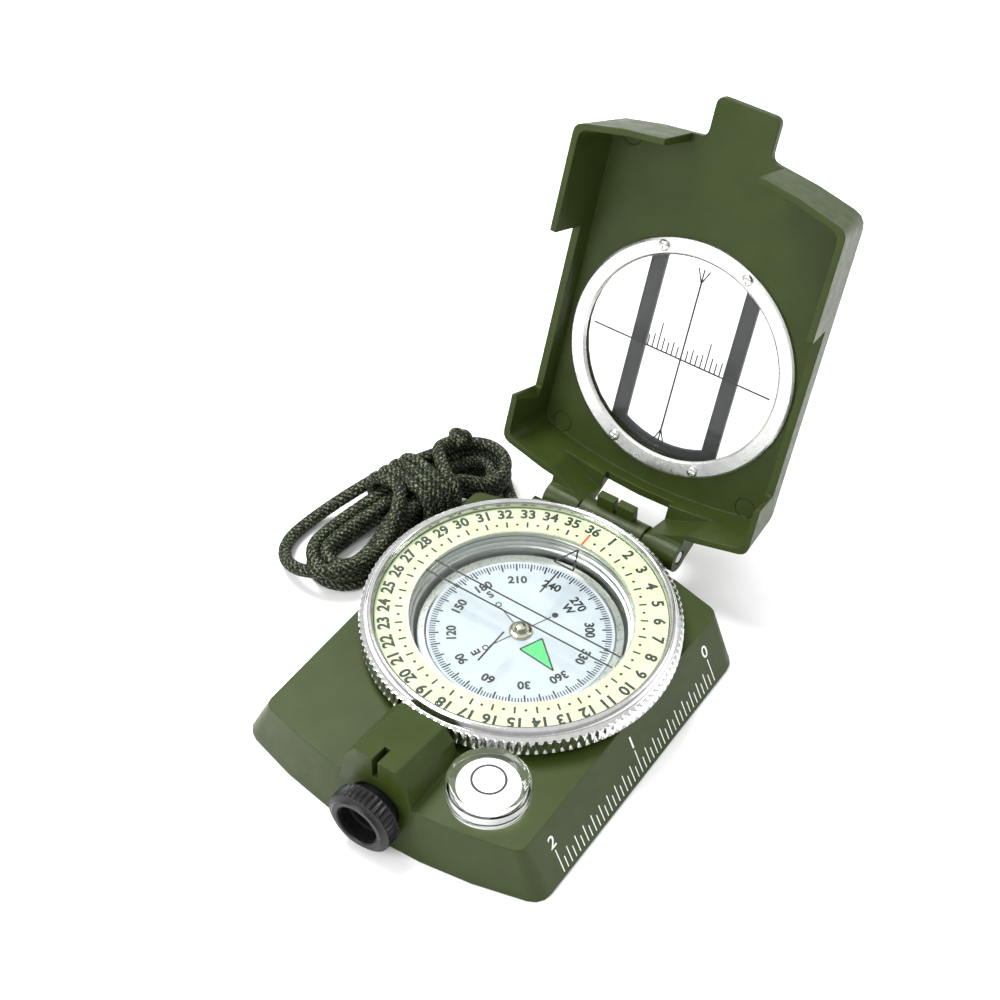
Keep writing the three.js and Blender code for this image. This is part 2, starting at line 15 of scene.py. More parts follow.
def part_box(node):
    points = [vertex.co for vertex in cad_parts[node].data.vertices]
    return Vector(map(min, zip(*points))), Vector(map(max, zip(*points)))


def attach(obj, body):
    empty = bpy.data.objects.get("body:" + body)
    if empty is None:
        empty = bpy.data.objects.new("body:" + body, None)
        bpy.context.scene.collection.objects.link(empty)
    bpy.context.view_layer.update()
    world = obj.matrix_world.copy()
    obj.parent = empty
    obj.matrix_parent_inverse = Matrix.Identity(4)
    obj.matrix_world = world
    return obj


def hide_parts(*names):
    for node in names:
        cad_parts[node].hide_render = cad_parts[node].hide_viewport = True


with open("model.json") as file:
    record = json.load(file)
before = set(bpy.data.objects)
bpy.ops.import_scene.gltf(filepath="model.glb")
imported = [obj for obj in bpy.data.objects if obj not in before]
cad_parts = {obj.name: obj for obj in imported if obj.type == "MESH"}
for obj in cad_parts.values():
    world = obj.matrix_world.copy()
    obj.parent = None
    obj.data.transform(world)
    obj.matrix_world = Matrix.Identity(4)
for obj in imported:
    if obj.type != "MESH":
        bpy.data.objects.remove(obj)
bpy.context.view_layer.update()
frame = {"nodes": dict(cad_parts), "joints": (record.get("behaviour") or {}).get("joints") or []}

scene = bpy.context.scene
MM = 0.001


# ---- places read from the frame, in millimetres ----
def span(node):
    low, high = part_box(node)
    return low / MM, high / MM


def middle(node):
    low, high = span(node)
    return (low + high) / 2


def joint(name):
    return next(j for j in frame["joints"] if j["name"] == name)


DIAL = middle("capsule_window")
LEVEL = middle("level_body")
EYE = middle("eyepiece_ring")
HINGE = Vector(joint("lid_hinge")["pos_m"]) / MM
LID_OPEN = radians(-joint("lid_hinge")["range_deg"][0])
CARD_TOP = span("compass_card")[1].z
CAP_TOP = span("jewel_cap")[1].z
RING_TOP = span("number_ring")[1].z
GLASS_LOW, GLASS_HIGH = span("bezel_glass")[0].z, span("bezel_glass")[1].z
BEZEL_LOW, BEZEL_HIGH = span("bezel_ring")[0].z, span("bezel_ring")[1].z
DISC_TOP = span("level_disc")[1].z
SCREW_PLACES = [middle(f"cover_screw_{i}") for i in range(1, 5)]

# ---- driving dimensions, in millimetres ----
BASE_HEIGHT = 11
BASE_LIP = 0.8
BASE_TOP = (26.9, 36.1, 1.6)  # half width, apex, corner
BASE_FOOT = (31.7, 37.8, 2.6)
LID_BACK_Z = 23.69
LID_FLOOR_Z = LID_BACK_Z - 1.5
WINDOW_Y = 6.75
CARD_NORTH = 113.5  # clockwise from +Y
RING_TURN = -0.9
INCH = 25.4
CORD = 2.6
INK = 0.03  # thickness of a printed mark

LID_REST = (
    Matrix.Translation(HINGE) @ Matrix.Rotation(-LID_OPEN, 4, "X") @ Matrix.Translation(-HINGE)
)


# ---- mesh helpers: bmesh in millimetres ----
def smooth_step(x):
    x = min(max(x, 0), 1)
    return x * x * (3 - 2 * x)


def rounded(points, radius, steps=3):
    """A closed outline whose corners are replaced by short curves, except on the axis."""
    made = []
    count = len(points)
    for i, p in enumerate(points):
        p = Vector(p)
        before, after = Vector(points[i - 1]), Vector(points[(i + 1) % count])
        if radius <= 0 or abs(p[0]) < 1e-6:
            made.append(tuple(p))
            continue
        a = p + (before - p).normalized() * min(radius, 0.45 * (before - p).length)
        b = p + (after - p).normalized() * min(radius, 0.45 * (after - p).length)
        for k in range(steps + 1):
            t = k / steps
            made.append(tuple(a * (1 - t) ** 2 + p * 2 * t * (1 - t) + b * t * t))
    return made


def skin(rings):
    """A closed or capped surface through rings of equal point counts; a ring of one point is a tip."""
    bm = bmesh.new()
    rows = [[bm.verts.new(p) for p in ring] for ring in rings]
    pairs = list(zip(rows, rows[1:]))
    for a, b in pairs:
        count = max(len(a), len(b))
        if count == 1:
            continue
        for i in range(count):
            j = (i + 1) % count
            corner = [a[i % len(a)], a[j % len(a)], b[j % len(b)], b[i % len(b)]]
            bm.faces.new(list(dict.fromkeys(corner)))
    return bm, rows


def loft(levels):
    """A solid through (outline, z) levels, capped at both ends."""
    bm, rows = skin([[(x, y, z) for x, y in outline] for outline, z in levels])
    bm.faces.new(list(reversed(rows[0])))
    bm.faces.new(rows[-1])
    return tidy(bm)


def lathe(profile, sides=128, x=0, y=0, wobble=None):
    """A solid of revolution about Z of a closed (radius, z) outline."""
    rings = []
    for r, z in [*profile, profile[0]]:
        if r < 1e-6:
            rings.append([(x, y, z)])
            continue
        ring = []
        for i in range(sides):
            angle = tau * i / sides
            reach = r + (wobble(angle, r, z) if wobble else 0)
            ring.append((x + reach * cos(angle), y + reach * sin(angle), z))
        rings.append(ring)
    bm, _ = skin(rings)
    bmesh.ops.remove_doubles(bm, verts=bm.verts, dist=1e-4)
    return tidy(bm)


def tidy(bm):
    bmesh.ops.recalc_face_normals(bm, faces=bm.faces)
    return bm


def prism(outline, z0, z1):
    return loft([(outline, z0), (outline, z1)])


def block(x0, x1, y0, y1, z0, z1):
    return prism([(x0, y0), (x1, y0), (x1, y1), (x0, y1)], z0, z1)


def moved(bm, matrix):
    bm.transform(matrix)
    return bm


def along_y(bm, x, y, z):
    """Turns a shape about Z into one about Y, with its Z towards -Y."""
    return moved(bm, Matrix.Translation((x, y, z)) @ Matrix.Rotation(pi / 2, 4, "X"))


def scratch_object(bm):
    mesh = bpy.data.meshes.new("scratch")
    bm.to_mesh(mesh)
    bm.free()
    made = bpy.data.objects.new("scratch", mesh)
    scene.collection.objects.link(made)
    return made


def cut(bm, *tools):
    """Cuts tools from a shape, one after another."""
    target = scratch_object(bm)
    helpers = [scratch_object(tool) for tool in tools]
    for helper in helpers:
        modifier = target.modifiers.new("cut", "BOOLEAN")
        modifier.operation = "DIFFERENCE"
        modifier.solver = "EXACT"
        modifier.object = helper
    bpy.context.view_layer.update()
    result = bmesh.new()
    result.from_object(target, bpy.context.evaluated_depsgraph_get())
    for used in [target, *helpers]:
        mesh = used.data
        bpy.data.objects.remove(used)
        bpy.data.meshes.remove(mesh)
    bmesh.ops.remove_doubles(result, verts=result.verts, dist=0.004)
    return result


def merged(shapes):
    """Several separate shapes in one mesh."""
    whole = bmesh.new()
    for bm in shapes:
        mesh = bpy.data.meshes.new("part")
        bm.to_mesh(mesh)
        bm.free()
        whole.from_mesh(mesh)
        bpy.data.meshes.remove(mesh)
    return whole


def piece(name, bm, material, body, replaces=(), sharp=34, flat_first=True):
    """A finished object of the compass from a millimetre shape."""
    big = [f for f in bm.faces if len(f.verts) > 4]
    bmesh.ops.triangulate(bm, faces=big)
    bmesh.ops.recalc_face_normals(bm, faces=bm.faces)
    bm.transform(Matrix.Scale(MM, 4))
    mesh = bpy.data.meshes.new(name)
    bm.to_mesh(mesh)
    bm.free()
    mesh.polygons.foreach_set("use_smooth", [True] * len(mesh.polygons))
    mesh.set_sharp_from_angle(angle=radians(sharp))
    mesh.materials.append(material)
    made = bpy.data.objects.new(name, mesh)
    scene.collection.objects.link(made)
    if flat_first:
        weighted = made.modifiers.new("flat faces", "WEIGHTED_NORMAL")
        weighted.keep_sharp = True
    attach(made, body)
    if replaces:
        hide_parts(*replaces)
    return made


# ---- materials ----
def shader(name, **sockets):
    """A Principled material with constants set on its own sockets."""
    material = bpy.data.materials.new(name)
    material.use_nodes = True
    node = material.node_tree.nodes["Principled BSDF"]
    for socket, value in sockets.items():
        node.inputs[socket.replace("_", " ")].default_value = value
    return material, material.node_tree, node


def noise(tree, scale, detail=3.0, stretch=None):
    coordinates = tree.nodes.new("ShaderNodeTexCoord")
    texture = tree.nodes.new("ShaderNodeTexNoise")
    texture.inputs["Scale"].default_value = scale
    texture.inputs["Detail"].default_value = detail
    source = coordinates.outputs["Object"]
    if stretch:
        mapping = tree.nodes.new("ShaderNodeMapping")
        mapping.inputs["Scale"].default_value = stretch
        tree.links.new(source, mapping.inputs["Vector"])
        source = mapping.outputs["Vector"]
    tree.links.new(source, texture.inputs["Vector"])
    return texture.outputs["Fac"]


def colour_between(tree, factor, dark, light, low=0.3, high=0.7):
    ramp = tree.nodes.new("ShaderNodeValToRGB")
    ramp.color_ramp.elements[0].position = low
    ramp.color_ramp.elements[1].position = high
    ramp.color_ramp.elements[0].color = (*dark, 1)
    ramp.color_ramp.elements[1].color = (*light, 1)
    tree.links.new(factor, ramp.inputs["Fac"])
    return ramp.outputs["Color"]


def value_between(tree, factor, low, high):
    remap = tree.nodes.new("ShaderNodeMapRange")
    remap.inputs["From Min"].default_value = 0.3
    remap.inputs["From Max"].default_value = 0.7
    remap.inputs["To Min"].default_value = low
    remap.inputs["To Max"].default_value = high
    tree.links.new(factor, remap.inputs["Value"])
    return remap.outputs["Result"]


def bumped(tree, node, height, depth_mm, strength=1.0):
    bump = tree.nodes.new("ShaderNodeBump")
    bump.inputs["Distance"].default_value = depth_mm * MM
    bump.inputs["Strength"].default_value = strength
    tree.links.new(height, bump.inputs["Height"])
    tree.links.new(bump.outputs["Normal"], node.inputs["Normal"])


def surface(name, dark, light, patch, roughness, grain=None, stretch=None, **sockets):
    """A material whose colour and roughness vary in patches per metre, with a fine grain."""
    material, tree, node = shader(name, **sockets)
    patches = noise(tree, patch, 4, stretch)
    tree.links.new(colour_between(tree, patches, dark, light), node.inputs["Base Color"])
    fine = noise(tree, patch * 3.1, 2, stretch)
    tree.links.new(value_between(tree, fine, *roughness), node.inputs["Roughness"])
    if grain:
        scale, depth = grain
        bumped(tree, node, noise(tree, scale, 2, stretch), depth)
    return material


def enamel():
    """Sprayed satin enamel: an even olive with a faint orange peel and paint-rounded edges."""
    material = surface(
        "olive enamel",
        (0.022, 0.034, 0.0045),
        (0.027, 0.041, 0.006),
        160,
        (0.36, 0.46),
        grain=(1500, 0.012),
        Specular_IOR_Level=0.2,
    )
    tree = material.node_tree
    round_edge = tree.nodes.new("ShaderNodeBevel")
    round_edge.samples = 4
    round_edge.inputs["Radius"].default_value = 0.35 * MM
    bump = next(node for node in tree.nodes if node.type == "BUMP")
    tree.links.new(round_edge.outputs["Normal"], bump.inputs["Normal"])
    return material


def polished_metal(name, tone, roughness, scratch=(4000, 0.0015), stretch=None):
    dark = tuple(0.86 * c for c in tone)
    return surface(
        name, dark, tone, 500, roughness, grain=scratch, stretch=stretch, Metallic=1.0
    )


def ink(name, tone, roughness=0.5):
    dark = tuple(0.8 * c for c in tone)
    return surface(name, dark, tone, 2500, (roughness, roughness + 0.1), grain=(9000, 0.002))


def clear_plate(name, tint):
    """Thin clear glass: it mirrors a little, lets the rest straight through and lets lamps through."""
    material = bpy.data.materials.new(name)
    material.use_nodes = True
    tree = material.node_tree
    tree.nodes.remove(tree.nodes["Principled BSDF"])
    through = tree.nodes.new("ShaderNodeBsdfTransparent")
    through.inputs["Color"].default_value = (*tint, 1)
    mirror = tree.nodes.new("ShaderNodeBsdfAnisotropic")
    mirror.inputs["Roughness"].default_value = 0.03
    fresnel = tree.nodes.new("ShaderNodeFresnel")
    fresnel.inputs["IOR"].default_value = 1.3
    weaker = tree.nodes.new("ShaderNodeMath")
    weaker.operation = "MULTIPLY"
    weaker.inputs[1].default_value = 0.6
    mix = tree.nodes.new("ShaderNodeMixShader")
    tree.links.new(fresnel.outputs["Fac"], weaker.inputs[0])
    tree.links.new(weaker.outputs["Value"], mix.inputs["Fac"])
    tree.links.new(through.outputs["BSDF"], mix.inputs[1])
    tree.links.new(mirror.outputs["BSDF"], mix.inputs[2])
    tree.links.new(mix.outputs["Shader"], tree.nodes["Material Output"].inputs["Surface"])
    return material


def clear_solid(name, ior, tint):
    """Thick clear plastic that bends light and lets lamps through."""
    material = bpy.data.materials.new(name)
    material.use_nodes = True
    tree = material.node_tree
    tree.nodes.remove(tree.nodes["Principled BSDF"])
    glass = tree.nodes.new("ShaderNodeBsdfGlass")
    glass.inputs["IOR"].default_value = ior
    glass.inputs["Roughness"].default_value = 0.0
    glass.inputs["Color"].default_value = (*tint, 1)
    through = tree.nodes.new("ShaderNodeBsdfTransparent")
    path = tree.nodes.new("ShaderNodeLightPath")
    mix = tree.nodes.new("ShaderNodeMixShader")
    tree.links.new(path.outputs["Is Shadow Ray"], mix.inputs["Fac"])
    tree.links.new(glass.outputs["BSDF"], mix.inputs[1])
    tree.links.new(through.outputs["BSDF"], mix.inputs[2])
    tree.links.new(mix.outputs["Shader"], tree.nodes["Material Output"].inputs["Surface"])
    return material


def braid():
    """Braided polyester: near-black olive yarns, with painted shade in the grooves between them and painted
    glints as pale flecks on the raised crowns.
    """
    material, tree, node = shader("braided cord", Specular_IOR_Level=0.18)
    crown = tree.nodes.new("ShaderNodeAttribute")
    crown.attribute_name = "crown"
    # Painted shade: where the crown attribute is low, in the grooves between yarns, the colour goes near
    # black.
    groove_shade, strand = (0.0012, 0.0016, 0.0008), (0.022, 0.027, 0.016)
    yarn_with_groove_shade = colour_between(tree, crown.outputs["Fac"], groove_shade, strand, 0.74, 1)
    # Painted highlights: noise flecks brighten the crowns up to about ninefold, standing in for glints of
    # light on the yarns.
    painted_glints = colour_between(tree, noise(tree, 2600, 2), (0.3, 0.3, 0.3), (9, 9, 8.4), 0.46, 0.66)
    mix = tree.nodes.new("ShaderNodeMix")
    mix.data_type = "RGBA"
    mix.blend_type = "MULTIPLY"
    mix.inputs["Factor"].default_value = 1.0
    tree.links.new(yarn_with_groove_shade, mix.inputs["A"])
    tree.links.new(painted_glints, mix.inputs["B"])
    tree.links.new(mix.outputs["Result"], node.inputs["Base Color"])
    tree.links.new(value_between(tree, noise(tree, 3000, 2), 0.5, 0.8), node.inputs["Roughness"])
    bumped(tree, node, noise(tree, 6000, 2), 0.05)
    return material


OLIVE = enamel()
SILVER = polished_metal("bezel metal", (0.66, 0.66, 0.65), (0.1, 0.18))
PALE_METAL = polished_metal("window ring metal", (0.7, 0.7, 0.69), (0.26, 0.34), (2500, 0.0006))
STEEL = polished_metal("screw steel", (0.72, 0.72, 0.7), (0.16, 0.28))
BRASS = polished_metal("cap brass", (0.82, 0.76, 0.6), (0.14, 0.22))
CUP_METAL = polished_metal("capsule wall", (0.72, 0.73, 0.71), (0.3, 0.42))
BLACK = surface(
    "black plastic", (0.004, 0.004, 0.0045), (0.008, 0.008, 0.009), 900, (0.34, 0.46), grain=(3500, 0.01),
    Specular_IOR_Level=0.25,
)
RUBBER = surface("seal rubber", (0.012, 0.012, 0.012), (0.022, 0.022, 0.022), 900, (0.6, 0.75))
STRIP_GREY = surface(
    "strip paint", (0.022, 0.023, 0.024), (0.03, 0.031, 0.033), 500, (0.4, 0.5), grain=(2500, 0.008),
    Specular_IOR_Level=0.3,
)
LUMINOUS = surface(
    "luminous cream", (0.49, 0.57, 0.34), (0.56, 0.63, 0.43), 350, (0.45, 0.6), grain=(5000, 0.006)
)
CARD_WHITE = surface(
    "card white", (0.53, 0.57, 0.67), (0.59, 0.62, 0.71), 400, (0.45, 0.6), grain=(5000, 0.004)
)
LEVEL_WHITE = surface("level white", (0.62, 0.62, 0.61), (0.68, 0.68, 0.67), 600, (0.3, 0.4))
MAGNET = polished_metal("magnet steel", (0.25, 0.25, 0.26), (0.35, 0.5))
BLACK_INK = ink("black ink", (0.012, 0.012, 0.013))
WHITE_INK = ink("white ink", (0.85, 0.87, 0.84))
RED_INK = ink("red ink", (0.62, 0.07, 0.03))
GREEN_INK = ink("green ink", (0.12, 0.72, 0.25))
PLATE_GLASS = clear_plate("clear glass", (0.985, 0.995, 0.985))
ACRYLIC = clear_solid("clear acrylic", 1.49, (0.985, 0.99, 0.99))
PRISM_GLASS = clear_solid("prism glass", 1.52, (0.97, 0.99, 0.98))
CORD_BRAID = braid()


# ---- camera, lights and floor ----
LENS = 69.3
CAMERA_PLACE = (0.1203675, -0.1866215, 0.2759798)
CAMERA_AZIMUTH, CAMERA_ELEVATION, CAMERA_ROLL = radians(32.93), radians(45.38), radians(1.957)


def camera():
    data = bpy.data.cameras.new("camera")
    data.lens = LENS
    data.clip_start = 0.01
    made = bpy.data.objects.new("camera", data)
    scene.collection.objects.link(made)
    back = Vector(
        (
            sin(CAMERA_AZIMUTH) * cos(CAMERA_ELEVATION),
            -cos(CAMERA_AZIMUTH) * cos(CAMERA_ELEVATION),
            sin(CAMERA_ELEVATION),
        )
    )
    right = (-back).cross(Vector((0, 0, 1))).normalized()
    up = right.cross(-back)
    x = right * cos(CAMERA_ROLL) + up * sin(CAMERA_ROLL)
    y = up * cos(CAMERA_ROLL) - right * sin(CAMERA_ROLL)
    turn = Matrix((x, y, back)).transposed().to_4x4()
    made.matrix_world = Matrix.Translation(CAMERA_PLACE) @ turn
    scene.camera = made


def lamp(name, place, size, power):
    data = bpy.data.lights.new(name, "AREA")
    data.shape = "DISK"
    data.size = size
    data.energy = power
    made = bpy.data.objects.new(name, data)
    scene.collection.objects.link(made)
    place = Vector(place)
    aim = Vector((0, 0.015, 0.02)) - place
    made.matrix_world = Matrix.Translation(place) @ aim.to_track_quat("-Z", "Y").to_matrix().to_4x4()


def studio():
    lamp("key", (-0.35, 0.1, 0.75), 0.35, 8)
    lamp("front", (-0.25, -0.6, 0.45), 0.5, 4.5)
    lamp("rim", (0.5, 0.5, 0.5), 0.4, 2.5)
    world = bpy.data.worlds.new("studio")
    scene.world = world
    world.use_nodes = True
    tree = world.node_tree
    background = tree.nodes["Background"]
    background.inputs["Strength"].default_value = 1.0
    direction = tree.nodes.new("ShaderNodeTexCoord")
    parts = tree.nodes.new("ShaderNodeSeparateXYZ")
    tree.links.new(direction.outputs["Generated"], parts.inputs["Vector"])
    sky = colour_between(tree, parts.outputs["Z"], (0.42, 0.42, 0.43), (1, 1, 1), 0.05, 0.5)
    tree.links.new(sky, background.inputs["Color"])
    scene.view_settings.view_transform = "Standard"
    paper, tree, node = shader("floor paper", Roughness=0.9)
    tone = colour_between(tree, noise(tree, 6, 2), (0.86, 0.86, 0.86), (0.9, 0.9, 0.9))
    tree.links.new(tone, node.inputs["Base Color"])
    bm = bmesh.new()
    reach = 30
    bm.faces.new([bm.verts.new((x, y, -0.00005)) for x, y in
                  ((-reach, -reach), (reach, -reach), (reach, reach), (-reach, reach))])
    mesh = bpy.data.meshes.new("floor")
    bm.to_mesh(mesh)
    mesh.materials.append(paper)
    floor = bpy.data.objects.new("floor", mesh)
    scene.collection.objects.link(floor)


# ---- lanyard ----
LUG_FACE = (-19.4, 39.5, 3.9)
LEAD = [(-12.5, 39.4, 4), (-16.5, 39.4, 4), LUG_FACE, (-22.4, 40, 3.2), (-24.9, 41.7, 2.2)]
HANK_FRONT, HANK_TIE, HANK_REAR = Vector((-42.1, 9.6)), Vector((-39.4, 28)), Vector((-33.9, 42))
BULB_OUTER, BULB_INNER = 6.2, 3.6  # radii of the two loops that lie side by side in each layer
TURNS = [(BULB_OUTER, 0), (BULB_INNER, 0), (BULB_INNER, 1), (BULB_OUTER, 1), (BULB_OUTER, 2)]
STRAY_TURN = 4  # the loop that has slipped out of the bundle at the front
WRAPS = 4.1


def axis_point(t):
    """A point of the hank's bent axis and its direction; t runs from 0 at the front to 1 at the rear."""
    control = HANK_TIE * 2 - (HANK_FRONT + HANK_REAR) / 2
    place = HANK_FRONT * (1 - t) ** 2 + control * 2 * t * (1 - t) + HANK_REAR * t * t
    along = (control - HANK_FRONT) * 2 * (1 - t) + (HANK_REAR - control) * 2 * t
    return place, along.normalized()


TIE_AT = 0.54
TIE_HALF = 0.17


def pinch(t):
    """How far the tie squeezes the hank there, from 0 to 1."""
    return 1 - smooth_step((abs(t - TIE_AT) - TIE_HALF) / 0.3)


def hank_point(q):
    """The cord's centre after q turns. Each turn runs round the rear, down the left, round the
    front and back up the right."""
    turn = min(int(q), len(TURNS) - 1)
    part = (q - turn) * 4
    radius, layer = TURNS[turn]
    following = TURNS[min(turn + 1, len(TURNS) - 1)]
    change = smooth_step((part - 3.1) / 0.8)
    radius += (following[0] - radius) * change
    layer += (following[1] - layer) * change
    lane = 1.35 + (radius - BULB_INNER) / (BULB_OUTER - BULB_INNER) * 2.65
    stray = 0.0
    if turn == STRAY_TURN and abs(part - 2.0) < 0.85:
        stray = cos(pi / 2 * (part - 2.0) / 0.85) ** 2
    side = part - int(part)
    if part < 1 or 2 <= part < 3:
        t = 1.0 if part < 1 else 0.0
        centre, along = axis_point(t)
        across = Vector((along.y, -along.x))
        turned = pi * side
        reach = radius + 6.2 * stray
        if t == 1.0:
            spot = centre + across * reach * cos(turned) + along * reach * sin(turned)
        else:
            spot = centre - across * reach * cos(turned) - along * reach * sin(turned)
        squeeze = 0.0
    else:
        t = 1 - side if part < 2 else side
        centre, along = axis_point(t)
        across = Vector((along.y, -along.x))
        squeeze = pinch(t)
        reach = radius + (lane - radius) * squeeze + 6.2 * stray
        spot = centre + across * reach * (-1 if part < 2 else 1)
    height = CORD / 2 + CORD * (layer + squeeze) - 5.2 * stray**1.5
    return Vector((spot.x, spot.y, height))


def tie_point(angle, t):
    """A point of the wrap round the hank, at an angle from +X over the top."""
    centre, along = axis_point(t)
    across = Vector((along.y, -along.x))
    c, s = cos(angle), sin(angle)
    wide = 6.7 * abs(c) ** 0.72 * (1 if c >= 0 else -1)
    tall = 4.9 * abs(s) ** 0.72 * (1 if s >= 0 else -1)
    spot = centre + across * wide
    return Vector((spot.x, spot.y, 6.3 + tall))


def cord_route():
    """From the stopper knot through the lug, round the hank, round its waist and onto its top."""
    points = [Vector(p) for p in LEAD]
    start, last = 0.1, len(TURNS) - 0.2
    count = int((last - start) * 44)
    points += [hank_point(start + (last - start) * i / count) for i in range(count + 1)]
    first, spread = TIE_AT - 0.14, 0.3
    centre, along = axis_point(first - 0.13)
    across = Vector((along.y, -along.x))
    rise = centre + across * 4.2
    points.append(Vector((rise.x, rise.y, 9.5)))
    for i in range(3, int(WRAPS * 20) + 1):
        share = i / (WRAPS * 20)
        angle = 0.55 + tau * WRAPS * share
        slant = 0.03 * (cos(angle) - cos(0.55))
        points.append(tie_point(angle, first + spread * share + slant))
    centre, along = axis_point(first + spread)
    across = Vector((along.y, -along.x))
    for side, ahead, z in ((-3.4, 2.4, 10.7), (-4.6, 5.6, 9.8), (-4.7, 8.6, 9.3)):
        spot = centre + across * side + along * ahead
        points.append(Vector((spot.x, spot.y, z)))
    return points


def smooth_path(points, step):
    """The points joined by a Catmull-Rom curve and respaced evenly."""
    dense = []
    padded = [points[0] * 2 - points[1], *points, points[-1] * 2 - points[-2]]
    for a, b, c, d in zip(padded, padded[1:], padded[2:], padded[3:]):
        pieces = max(2, int((c - b).length / step) + 1)
        for k in range(pieces):
            t = k / pieces
            dense.append(
                ((b * 2) + (c - a) * t + (a * 2 - b * 5 + c * 4 - d) * t * t
                 + (b * 3 - a - c * 3 + d) * t**3) / 2
            )
    dense.append(points[-1])
    line = np.array([tuple(p) for p in dense])
    for _ in range(26):
        line[1:-1] += 0.25 * (line[:-2] + line[2:] - 2 * line[1:-1])
    travelled = np.concatenate([[0], np.cumsum(np.linalg.norm(np.diff(line, axis=0), axis=1))])
    count = int(travelled[-1] / step) + 1
    even = np.linspace(0, travelled[-1], count)
    return np.stack([np.interp(even, travelled, line[:, k]) for k in range(3)], axis=1)


def braided_tube(name, line, diameter, body, sides=22, closed=False):
    """A tube with a braid's raised crossings along an evenly spaced line, in millimetres."""
    ahead = np.gradient(line, axis=0)
    ahead /= np.linalg.norm(ahead, axis=1)[:, None]
    normal = np.cross(ahead[0], (0.0, 0.0, 1.0))
    if np.linalg.norm(normal) < 0.1:
        normal = np.cross(ahead[0], (0.0, 1.0, 0.0))
    frames = []
    for direction in ahead:
        normal = normal - direction * (normal @ direction)
        normal /= np.linalg.norm(normal)
        frames.append((normal, np.cross(direction, normal)))
    step = np.linalg.norm(line[1] - line[0])
    strands, pitch = 6, 1.15
    verts, crowns = [], []
    for i, (centre, (u, v)) in enumerate(zip(line, frames)):
        for k in range(sides):
            angle = tau * k / sides
            wave = tau * i * step / pitch / 2
            one, other = cos(strands * angle / 2 + wave), cos(strands * angle / 2 - wave)
            crown = max(abs(one), abs(other))
            radius = diameter / 2 * (0.82 + 0.18 * crown)
            verts.append(centre + (u * cos(angle) + v * sin(angle)) * radius)
            crowns.append(crown)
    faces = []
    rows = len(line)
    for i in range(rows - 1):
        for k in range(sides):
            j = (k + 1) % sides
            faces.append((i * sides + k, i * sides + j, (i + 1) * sides + j, (i + 1) * sides + k))
    if not closed:
        faces.append(tuple(reversed(range(sides))))
        faces.append(tuple(range((rows - 1) * sides, rows * sides)))
    else:
        faces += [((rows - 1) * sides + k, (rows - 1) * sides + (k + 1) % sides, (k + 1) % sides, k)
                  for k in range(sides)]
    mesh = bpy.data.meshes.new(name)
    mesh.from_pydata([tuple(v * MM) for v in verts], [], faces)
    attribute = mesh.attributes.new("crown", "FLOAT", "POINT")
    attribute.data.foreach_set("value", np.array(crowns, np.float32))
    mesh.polygons.foreach_set("use_smooth", [True] * len(mesh.polygons))
    mesh.materials.append(CORD_BRAID)
    made = bpy.data.objects.new(name, mesh)
    scene.collection.objects.link(made)
    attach(made, body)
    return made


def knot(name, centre, size, turn):
    """A trefoil knot in the cord's own braid."""
    line = []
    count = 110
    for i in range(count):
        a = tau * i / count
        p = Vector((sin(a) + 2 * sin(2 * a), cos(a) - 2 * cos(2 * a), -1.15 * sin(3 * a))) / 3
        line.append(tuple(turn @ (p * size) + centre))
    return braided_tube(name, np.array(line), CORD * 0.78, "base", 14, closed=True)


def lanyard():
    line = smooth_path(cord_route(), 0.3)
    cord = braided_tube("lanyard_cord", line, CORD, "base")
    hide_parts("lanyard_lead", "lanyard_hank")
    end = Vector(line[-1])
    tail = knot("lanyard_end_knot", end, 1.7, Matrix.Rotation(0.5, 3, "X"))
    stop = middle("lanyard_stopper")
    stopper = knot("lanyard_stopper_knot", stop, 1.35, Matrix.Rotation(pi / 2, 3, "Y"))
    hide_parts("lanyard_stopper")


# ---- pieces that keep the frame's own shape ----
def smooth_below(angle):
    """A node group that shades a mesh smooth, with its edges sharp above an angle in degrees."""
    group = bpy.data.node_groups.new(f"smooth below {angle}", "GeometryNodeTree")
    group.interface.new_socket("Geometry", in_out="INPUT", socket_type="NodeSocketGeometry")
    group.interface.new_socket("Geometry", in_out="OUTPUT", socket_type="NodeSocketGeometry")
    start, end = (group.nodes.new(kind) for kind in ("NodeGroupInput", "NodeGroupOutput"))
    faces, edges = (group.nodes.new("GeometryNodeSetShadeSmooth") for _ in range(2))
    edges.domain = "EDGE"
    fold = group.nodes.new("GeometryNodeInputMeshEdgeAngle")
    gentle = group.nodes.new("FunctionNodeCompare")
    gentle.operation = "LESS_THAN"
    gentle.inputs[1].default_value = radians(angle)
    group.links.new(fold.outputs["Unsigned Angle"], gentle.inputs[0])
    group.links.new(start.outputs[0], faces.inputs[0])
    group.links.new(faces.outputs[0], edges.inputs[0])
    group.links.new(gentle.outputs[0], edges.inputs["Shade Smooth"])
    group.links.new(edges.outputs[0], end.inputs[0])
    return group


def dress(node, material, soft=0.0, angle=30):
    """A node of the frame with rounded edges and a material of its own."""
    shown = frame["nodes"][node]
    shown.data.materials.clear()
    shown.data.materials.append(material)
    if soft:
        weld = shown.modifiers.new("weld", "WELD")
        weld.merge_threshold = 0.01 * MM
        flat = shown.modifiers.new("flat faces", "DECIMATE")
        flat.decimate_type = "DISSOLVE"
        flat.angle_limit = radians(1.5)
        bevel = shown.modifiers.new("soft edges", "BEVEL")
        bevel.width = soft * MM
        bevel.segments = 3
        bevel.limit_method = "ANGLE"
        bevel.angle_limit = radians(angle)
        bevel.use_clamp_overlap = True
    shading = shown.modifiers.new("smooth shading", "NODES")
    shading.node_group = smooth_below(angle)
    normals = shown.modifiers.new("face normals", "WEIGHTED_NORMAL")
    normals.keep_sharp = True
    return shown


